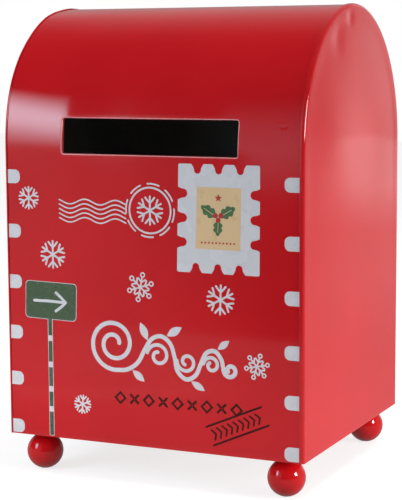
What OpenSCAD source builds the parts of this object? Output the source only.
// Tin money box in the shape of a letter box: a barrel-topped sheet metal body on
// four ball feet, with a letter slot in front and a hinged door at the back.
// Millimetres. X runs to the right, the front faces -Y and Z is up. The origin is
// on the floor under the middle of the box.

/* [Body] */
// Width of the body over the two end seams
body_w = 172; // [140:1:220]
// Depth of the body over the end seams
body_d = 152; // [130:1:190]
// Height of the straight walls, from their lower edge up to the start of the dome
wall_h = 156; // [150:1:220]
// Thickness of the sheet metal
sheet_t = 0.5; // [0.4:0.1:0.8]
// Gap left between two sheets where they are folded or laid together
lay_gap = 0.05; // [0.02:0.01:0.1]

/* [End seams] */
// Width of the flange that each end panel folds over the edge of the body sheet
seam_w = 3; // [2:0.5:5]
// Outer radius of the bend between an end panel and its flange
seam_r = 1; // [0.9:0.1:1.5]

/* [Letter slot] */
// Clear width of the letter slot
slot_w = 101; // [60:1:120]
// Clear height of the letter slot
slot_h = 18.5; // [12:0.5:30]
// Radius of the slot's corners
slot_r = 1.2; // [0.6:0.1:3]
// How far the slot's lower edge lies below the start of the dome
slot_drop = 1.8; // [0:0.2:6]
// How far the slot's middle lies to the right of the body's middle
slot_shift = -0.8; // [-5:0.1:5]
// How far the slot's turned-in lip reaches behind the sheet
slot_lip = 1.6; // [1:0.1:3]

/* [Base] */
// Height of the base panel's turned-up rim
base_rim_h = 8; // [5:0.5:15]
// Corner radius of the base panel
base_r = 2; // [1:0.5:5]

/* [Feet] */
// Diameter of each ball foot
foot_d = 20; // [16:0.5:26]
// Diameter of the flat that each ball stands on
sole_d = 3; // [2:0.5:5]
// Diameter of the flat seat on top of each ball
seat_d = 8; // [7:0.5:10]
// From the body's side to the middle of a foot
foot_inset_x = 14.3; // [12:0.1:25]
// From the body's front or back to the middle of a foot
foot_inset_y = 12.8; // [12:0.1:25]
// Thickness of the washer between a ball and the base
washer_t = 2; // [1:0.1:4]
// Diameter of that washer
washer_d = 10; // [8:0.5:14]
// Diameter of the foot screws
screw_d = 4; // [3:0.1:5]
// Length of the foot screws under the head
screw_len = 14; // [9:0.5:15]
// Diameter of the foot screws' heads
screw_head_d = 8; // [7:0.5:10]
// Height of the foot screws' heads
screw_head_h = 2.4; // [2:0.1:3]

/* [Rear door] */
// Clear width of the doorway
doorway_w = 100; // [80:1:104]
// Clear height of the doorway
doorway_h = 104; // [80:1:110]
// From the body's lower edge to the doorway's lower edge
doorway_lift = 22; // [14:1:26]
// Corner radius of the doorway
doorway_r = 5; // [2:0.5:10]
// How far the door covers the sheet round the doorway
door_lap = 6; // [5:0.5:8]
// Width of the hem folded back along the door's edges
hem_w = 4.5; // [3:0.5:5]
// Gap between the closed door and the back of the body
door_gap = 0.25; // [0.2:0.05:0.5]

/* [Hinges] */
// Height of each hinge
hinge_h = 26; // [18:1:30]
// From the door's upper or lower edge to the middle of a hinge
hinge_inset = 20; // [16:1:24]
// Outer diameter of the hinge knuckles
knuckle_d = 3.4; // [3:0.1:4.4]
// Diameter of the hinge pins
pin_d = 1.8; // [1.4:0.1:2]
// Thickness of the hinge leaves
leaf_t = 0.8; // [0.6:0.1:1]
// Gap between neighbouring knuckles
knuckle_gap = 0.2; // [0.1:0.05:0.4]
// Gap between the knuckles and the edge of the door
hinge_gap = 0.5; // [0.3:0.1:1]
// Diameter of the rivet shanks
rivet_d = 2.4; // [2:0.1:2.8]
// Diameter of the rivets' outer heads
rivet_head_d = 4.6; // [4:0.1:5.2]
// Height of the rivets' outer heads
rivet_head_h = 0.9; // [0.6:0.1:1.4]
// Diameter of the rivets' inner tails
rivet_tail_d = 3.8; // [3.4:0.1:4.4]
// Height of the rivets' inner tails
rivet_tail_h = 0.7; // [0.5:0.1:0.8]
// From the end of a hinge leaf to the nearest rivet
rivet_end = 5; // [4:0.5:5.5]

/* [Latch] */
// From the doorway's edge to the middle of the latch spindle
latch_inset = 7; // [6:0.5:12]
// Diameter of the latch spindle
spindle_d = 4; // [3:0.1:5]
// Diameter of the knob's round plate
knob_d = 16; // [14:0.5:22]
// Thickness of the knob's round plate
knob_t = 2; // [1.5:0.1:3]
// Length of the knob's grip
grip_l = 14; // [12:0.5:20]
// Thickness of the grip's walls beside the spindle
grip_wall = 0.9; // [0.7:0.1:1.5]
// How far the grip stands out from the knob's plate
grip_h = 7; // [5:0.5:12]
// Width of the latch cam
cam_w = 8; // [7:0.1:9]
// Thickness of the latch cam
cam_t = 1.2; // [0.8:0.1:2]
// How far the turned cam reaches behind the edge of the doorway
cam_bite = 7; // [4:0.5:10]
// Gap between the turned cam and the back of the body
cam_gap = 0.4; // [0.3:0.1:1]
// Width across flats of the latch nut
nut_af = 7; // [6.5:0.1:8]
// Thickness of the latch nut
nut_t = 2.4; // [2:0.1:3.2]

/* [Fits] */
// Radial clearance of pins, screws and spindles in their holes
fit_gap = 0.05; // [0.02:0.01:0.1]

/* [Hidden] */
$fn = 96;

paint_red = [0.72, 0.06, 0.08];
ball_red = [0.66, 0.03, 0.05];
steel_grey = [0.72, 0.72, 0.74];

// A tool that cuts right through runs this far past both faces.
cut = 1;

// Feet, from the floor up
foot_r = foot_d / 2;
sole_rise = foot_r - sqrt(foot_r * foot_r - sole_d * sole_d / 4);
ball_z = foot_r - sole_rise;
seat_z = ball_z + sqrt(foot_r * foot_r - seat_d * seat_d / 4);
base_z = seat_z + washer_t;
foot_x = body_w / 2 - foot_inset_x;
foot_y = body_d / 2 - foot_inset_y;
screw_seat_z = base_z + sheet_t;
screw_tip_h = screw_d / 2;

// Body shell: the end panels' flanges lie over the body sheet.
dome_z = base_z + wall_h;
seam_depth = body_d / 2;
wrap_out = seam_depth - sheet_t - lay_gap;
wrap_in = wrap_out - sheet_t;
end_in_x = body_w / 2 - sheet_t;
wrap_x = body_w / 2 - seam_r;

// Letter slot
slot_z = dome_z - slot_drop + slot_h / 2;

// Rear door, which lies on the back of the body
doorway_z = base_z + doorway_lift + doorway_h / 2;
door_w = doorway_w + 2 * door_lap;
door_h = doorway_h + 2 * door_lap;
door_r = doorway_r + 1;
hem_y = wrap_out + door_gap;
door_in_y = hem_y + sheet_t;
door_out_y = door_in_y + sheet_t;

// Hinges, at the right-hand edge of the door
pin_x = door_w / 2 + hinge_gap + knuckle_d / 2;
pin_y = wrap_out + 2 * lay_gap + knuckle_d / 2;
hinge_z = door_h / 2 - hinge_inset;
knuckle_h = (hinge_h - 2 * knuckle_gap) / 3;
rivet_clear = 0.8;
rivet_reach = pin_x - doorway_w / 2 + rivet_tail_d / 2 + rivet_clear;
leaf_w = rivet_reach + rivet_head_d / 2 + 1;
leaf_corner_r = 1.5;
rivet_z = hinge_h / 2 - rivet_end;
pin_head_d = knuckle_d - 0.6;
pin_head_h = 0.8;

// Latch, near the left-hand edge of the door
latch_x = -(doorway_w / 2 - latch_inset);
cam_reach = latch_inset + cam_bite;
cam_out_y = wrap_in - cam_gap;
cam_in_y = cam_out_y - cam_t;
nut_in_y = cam_in_y - lay_gap - nut_t;
spindle_end = 0.6;
knob_gap = 0.2;
knob_y = door_out_y + knob_gap;
spacer_wall = 1.6;
spindle_in_knob = knob_t + grip_h - 2;

// The knob stands out at the back, so the body sits this far off the origin along Y.
knob_out_y = knob_y + knob_t + grip_h;
body_y = (seam_depth - knob_out_y) / 2;

// ---- shapes that repeat ----

// Puts a piece, drawn round the middle of the body, at its place round the origin
module place() {
    translate([0, body_y, 0]) children();
}

// Outline of the box seen from its side: straight walls with a half circle on top
module arch_outline(half_d, low_z) {
    translate([-half_d, low_z]) square([2 * half_d, dome_z - low_z]);
    translate([0, dome_z]) circle(r = half_d);
}

// The arch outline as a prism along X
module arch_prism(half_d, x0, x1, low_z) {
    translate([x0, 0, 0])
        rotate([90, 0, 90])
            linear_extrude(x1 - x0) arch_outline(half_d, low_z);
}

module rounded_rect(w, h, r) {
    square([w - 2 * r, h], center = true);
    square([w, h - 2 * r], center = true);
    for (sx = [-1, 1], sz = [-1, 1])
        translate([sx * (w / 2 - r), sz * (h / 2 - r)]) circle(r = r);
}

// Stands an outline up in the XZ plane and gives it a thickness from y0 to y1
module upright(y0, y1) {
    translate([0, y1, 0]) rotate([90, 0, 0]) linear_extrude(y1 - y0) children();
}

// Round rod along Y
module rod_y(d, y0, y1) {
    translate([0, y0, 0]) rotate([-90, 0, 0]) cylinder(d = d, h = y1 - y0);
}

// Low domed head that stands on z = 0
module domed_head(d, h) {
    edge = h * 0.35;
    rise = h - edge;
    dome_r = (d * d / 4 + rise * rise) / (2 * rise);
    rotate_extrude()
        intersection() {
            translate([0, h - dome_r]) circle(r = dome_r);
            square([d / 2, h]);
        }
}

module at_each_foot() {
    for (sx = [-1, 1], sy = [-1, 1])
        translate([sx * foot_x, sy * foot_y, 0]) children();
}

// ---- body ----

module slot_outline(grow) {
    rounded_rect(slot_w + 2 * grow, slot_h + 2 * grow, slot_r + grow);
}

// The slot's edge, turned in to make a smooth lip that follows the dome
module slot_edge() {
    intersection() {
        translate([slot_shift, 0, slot_z])
            upright(-seam_depth, 0) difference() {
                slot_outline(sheet_t);
                slot_outline(0);
            }
        difference() {
            arch_prism(wrap_out, -slot_w, slot_w, base_z);
            arch_prism(wrap_in - slot_lip, -slot_w - cut, slot_w + cut, base_z - cut);
        }
    }
}

// One sheet makes the front, the dome and the back.
module body_wrap() {
    color(paint_red) place() {
        difference() {
            arch_prism(wrap_out, -wrap_x, wrap_x, base_z);
            arch_prism(wrap_in, -wrap_x - cut, wrap_x + cut, base_z - cut);
            translate([slot_shift, 0, slot_z])
                upright(-seam_depth - cut, 0) slot_outline(sheet_t / 2);
            translate([0, 0, doorway_z])
                upright(0, seam_depth + cut) rounded_rect(doorway_w, doorway_h, doorway_r);
            at_body_rivets() rod_y(rivet_d + 2 * fit_gap, wrap_in - cut, wrap_out + cut);
        }
        slot_edge();
    }
}

// Section through an end panel's edge: the panel, its rounded bend and its flange.
// The first axis runs in from the end, the second in from the arch.
module end_edge_section() {
    panel_strip = seam_w + seam_r;
    difference() {
        bent_block(seam_w, panel_strip, seam_r);
        translate([sheet_t, sheet_t]) bent_block(seam_w, panel_strip, seam_r - sheet_t);
    }
}

module bent_block(along, deep, r) {
    translate([r, 0]) square([along - r, deep]);
    translate([0, r]) square([along, deep - r]);
    translate([r, r]) circle(r = r);
}

module end_edge_upright() {
    translate([-body_w / 2, -seam_depth, base_z]) linear_extrude(wall_h) end_edge_section();
}

module end_edge_arch() {
    translate([-body_w / 2, 0, dome_z])
        rotate([90, 0, 90])
            rotate_extrude(angle = 180)
                translate([seam_depth, 0]) rotate([0, 0, 90]) end_edge_section();
}

module end_panel() {
    color(paint_red) place() {
        arch_prism(seam_depth - seam_w, -body_w / 2, -end_in_x, base_z);
        end_edge_upright();
        mirror([0, 1, 0]) end_edge_upright();
        end_edge_arch();
    }
}

module left_end_panel() {
    end_panel();
}

module right_end_panel() {
    mirror([1, 0, 0]) end_panel();
}

// Shallow tray that closes the bottom of the body
module base_panel() {
    tray_w = 2 * (end_in_x - lay_gap);
    tray_d = 2 * (wrap_in - lay_gap);
    color(paint_red) place()
        translate([0, 0, base_z])
            difference() {
                linear_extrude(base_rim_h) rounded_rect(tray_w, tray_d, base_r);
                translate([0, 0, sheet_t])
                    linear_extrude(base_rim_h)
                        rounded_rect(tray_w - 2 * sheet_t, tray_d - 2 * sheet_t, base_r - sheet_t);
                at_each_foot()
                    translate([0, 0, -cut])
                        cylinder(d = screw_d + 2 * fit_gap, h = sheet_t + 2 * cut);
            }
}

// ---- feet ----

module ball_foot(sx, sy) {
    bore_low_z = screw_seat_z - screw_len - 1;
    color(ball_red) place()
        translate([sx * foot_x, sy * foot_y, 0])
            difference() {
                translate([0, 0, ball_z]) sphere(d = foot_d);
                translate([-foot_r, -foot_r, -foot_r]) cube([foot_d, foot_d, foot_r]);
                translate([-foot_r, -foot_r, seat_z]) cube([foot_d, foot_d, foot_r]);
                translate([0, 0, bore_low_z])
                    cylinder(d = screw_d + 2 * fit_gap, h = seat_z - bore_low_z + cut);
            }
}

module front_left_foot() {
    ball_foot(-1, -1);
}

module front_right_foot() {
    ball_foot(1, -1);
}

module back_left_foot() {
    ball_foot(-1, 1);
}

module back_right_foot() {
    ball_foot(1, 1);
}

module foot_washers() {
    color(steel_grey) place()
        at_each_foot()
            translate([0, 0, seat_z])
                difference() {
                    cylinder(d = washer_d, h = washer_t);
                    translate([0, 0, -cut])
                        cylinder(d = screw_d + 2 * fit_gap, h = washer_t + 2 * cut);
                }
}

module foot_screw() {
    shank_h = screw_len - screw_tip_h;
    recess_l = screw_head_d * 0.55;
    recess_w = 0.9;
    recess_h = screw_head_h * 0.5;
    difference() {
        union() {
            domed_head(screw_head_d, screw_head_h);
            translate([0, 0, -shank_h]) cylinder(d = screw_d, h = shank_h);
            translate([0, 0, -screw_len])
                cylinder(d1 = screw_d * 0.3, d2 = screw_d, h = screw_tip_h);
        }
        for (turn = [0, 90])
            rotate([0, 0, turn])
                translate([-recess_l / 2, -recess_w / 2, screw_head_h - recess_h])
                    cube([recess_l, recess_w, screw_head_h]);
    }
}

module foot_screws() {
    color(steel_grey) place()
        at_each_foot()
            translate([0, 0, screw_seat_z]) foot_screw();
}

// ---- rear door ----

module door_outline(shrink) {
    rounded_rect(door_w - 2 * shrink, door_h - 2 * shrink, door_r - min(shrink, door_r - 1));
}

module rear_door() {
    color(paint_red) place()
        difference() {
            translate([0, 0, doorway_z]) {
                upright(door_in_y, door_out_y) door_outline(0);
                upright(hem_y, door_in_y) difference() {
                    door_outline(0);
                    door_outline(hem_w);
                }
            }
            at_door_rivets() rod_y(rivet_d + 2 * fit_gap, hem_y - cut, door_out_y + cut);
            translate([latch_x, 0, doorway_z])
                rod_y(spindle_d + 2 * fit_gap, hem_y - cut, door_out_y + cut);
        }
}

// ---- hinges ----

module at_each_hinge() {
    for (sz = [-1, 1])
        translate([0, 0, doorway_z + sz * hinge_z]) children();
}

module at_body_rivets() {
    at_each_hinge()
        for (sz = [-1, 1])
            translate([pin_x + rivet_reach, 0, sz * rivet_z]) children();
}

module at_door_rivets() {
    at_each_hinge()
        for (sz = [-1, 1])
            translate([pin_x - rivet_reach, 0, sz * rivet_z]) children();
}

// Outline of a leaf: the pin runs up the left-hand edge and the corners away from it are round.
module leaf_outline() {
    translate([leaf_w / 2, 0]) rounded_rect(leaf_w, hinge_h, leaf_corner_r);
    translate([0, -hinge_h / 2]) square([leaf_w / 2, hinge_h]);
}

// A notch in a leaf that makes room for a knuckle of the other leaf
module knuckle_notch(low_z, high_z) {
    depth = knuckle_d / 2 + knuckle_gap;
    translate([-cut, low_z]) square([depth + cut, high_z - low_z]);
}

module knuckle(low_z) {
    translate([pin_x, pin_y, low_z]) cylinder(d = knuckle_d, h = knuckle_h);
}

module pin_bore() {
    translate([pin_x, pin_y, -hinge_h])
        cylinder(d = pin_d + 2 * fit_gap, h = 2 * hinge_h);
}

// The body's leaf carries the two outer knuckles.
module body_leaf() {
    leaf_y = wrap_out + lay_gap;
    middle_h = knuckle_h / 2 + knuckle_gap;
    color(steel_grey) place()
        difference() {
            union() {
                translate([pin_x, 0, 0])
                    upright(leaf_y, leaf_y + leaf_t) difference() {
                        leaf_outline();
                        knuckle_notch(-middle_h, middle_h);
                    }
                knuckle(-hinge_h / 2);
                knuckle(middle_h);
            }
            pin_bore();
            for (sz = [-1, 1])
                translate([pin_x + rivet_reach, 0, sz * rivet_z])
                    rod_y(rivet_d + 2 * fit_gap, leaf_y - cut, leaf_y + leaf_t + cut);
        }
}

// The door's leaf carries the middle knuckle.
module door_leaf() {
    leaf_y = door_out_y + lay_gap;
    color(steel_grey) place()
        difference() {
            union() {
                translate([pin_x, 0, 0])
                    mirror([1, 0, 0])
                        upright(leaf_y, leaf_y + leaf_t) difference() {
                            leaf_outline();
                            knuckle_notch(knuckle_h / 2, hinge_h);
                            knuckle_notch(-hinge_h, -knuckle_h / 2);
                        }
                knuckle(-knuckle_h / 2);
            }
            pin_bore();
            for (sz = [-1, 1])
                translate([pin_x - rivet_reach, 0, sz * rivet_z])
                    rod_y(rivet_d + 2 * fit_gap, leaf_y - cut, leaf_y + leaf_t + cut);
        }
}

module hinge_pin() {
    color(steel_grey) place()
        translate([pin_x, pin_y, 0]) {
            translate([0, 0, -hinge_h / 2]) cylinder(d = pin_d, h = hinge_h + 2 * lay_gap);
            translate([0, 0, hinge_h / 2 + lay_gap]) domed_head(pin_head_d, pin_head_h);
        }
}

// Rivet whose outer head sits at head_y and whose inner tail sits at tail_y
module rivet(head_y, tail_y) {
    translate([0, head_y, 0]) rotate([-90, 0, 0]) domed_head(rivet_head_d, rivet_head_h);
    rod_y(rivet_d, tail_y - lay_gap, head_y + lay_gap);
    rod_y(rivet_tail_d, tail_y - rivet_tail_h, tail_y);
}

module upper_hinge_body_leaf() {
    translate([0, 0, doorway_z + hinge_z]) body_leaf();
}

module upper_hinge_door_leaf() {
    translate([0, 0, doorway_z + hinge_z]) door_leaf();
}

module upper_hinge_pin() {
    translate([0, 0, doorway_z + hinge_z]) hinge_pin();
}

module lower_hinge_body_leaf() {
    translate([0, 0, doorway_z - hinge_z]) body_leaf();
}

module lower_hinge_door_leaf() {
    translate([0, 0, doorway_z - hinge_z]) door_leaf();
}

module lower_hinge_pin() {
    translate([0, 0, doorway_z - hinge_z]) hinge_pin();
}

module body_leaf_rivets() {
    color(steel_grey) place()
        at_body_rivets() rivet(wrap_out + 2 * lay_gap + leaf_t, wrap_in - lay_gap);
}

module door_leaf_rivets() {
    color(steel_grey) place()
        at_door_rivets() rivet(door_out_y + 2 * lay_gap + leaf_t, door_in_y - lay_gap);
}

// ---- latch ----

module at_latch() {
    translate([latch_x, 0, doorway_z]) children();
}

// The grip stands upright while the latch is open.
module latch_knob() {
    bore_d = spindle_d + 2 * fit_gap;
    grip_w = bore_d + 2 * grip_wall;
    color(steel_grey) place()
        at_latch()
            difference() {
                union() {
                    rod_y(knob_d, knob_y, knob_y + knob_t);
                    upright(knob_y, knob_y + knob_t + grip_h)
                        rounded_rect(grip_w, grip_l, grip_w * 0.45);
                }
                rod_y(bore_d, knob_y - cut, knob_y + spindle_in_knob + knob_gap);
            }
}

module latch_spindle() {
    color(steel_grey) place()
        at_latch() rod_y(spindle_d, nut_in_y - spindle_end, knob_y + spindle_in_knob);
}

// Sleeve that keeps the cam clear of the door
module latch_spacer() {
    low_y = cam_out_y + lay_gap;
    high_y = door_in_y - knob_gap;
    color(steel_grey) place()
        at_latch()
            difference() {
                rod_y(spindle_d + 2 * spacer_wall, low_y, high_y);
                rod_y(spindle_d + 2 * fit_gap, low_y - cut, high_y + cut);
            }
}

// The cam hangs down while the latch is open, and turns behind the doorway's edge.
module latch_cam() {
    tip_z = cam_reach - cam_w / 2;
    color(steel_grey) place()
        at_latch()
            difference() {
                upright(cam_in_y, cam_out_y) {
                    circle(d = cam_w);
                    translate([0, -tip_z]) circle(d = cam_w);
                    translate([-cam_w / 2, -tip_z]) square([cam_w, tip_z]);
                }
                rod_y(spindle_d + 2 * fit_gap, cam_in_y - cut, cam_out_y + cut);
            }
}

module latch_nut() {
    color(steel_grey) place()
        at_latch()
            difference() {
                translate([0, nut_in_y, 0])
                    rotate([-90, 0, 0]) cylinder(d = nut_af / cos(30), h = nut_t, $fn = 6);
                rod_y(spindle_d + 2 * fit_gap, nut_in_y - cut, nut_in_y + nut_t + cut);
            }
}

body_wrap();
left_end_panel();
right_end_panel();
base_panel();
front_left_foot();
front_right_foot();
back_left_foot();
back_right_foot();
foot_washers();
foot_screws();
rear_door();
upper_hinge_body_leaf();
upper_hinge_door_leaf();
upper_hinge_pin();
lower_hinge_body_leaf();
lower_hinge_door_leaf();
lower_hinge_pin();
body_leaf_rivets();
door_leaf_rivets();
latch_knob();
latch_spindle();
latch_spacer();
latch_cam();
latch_nut();
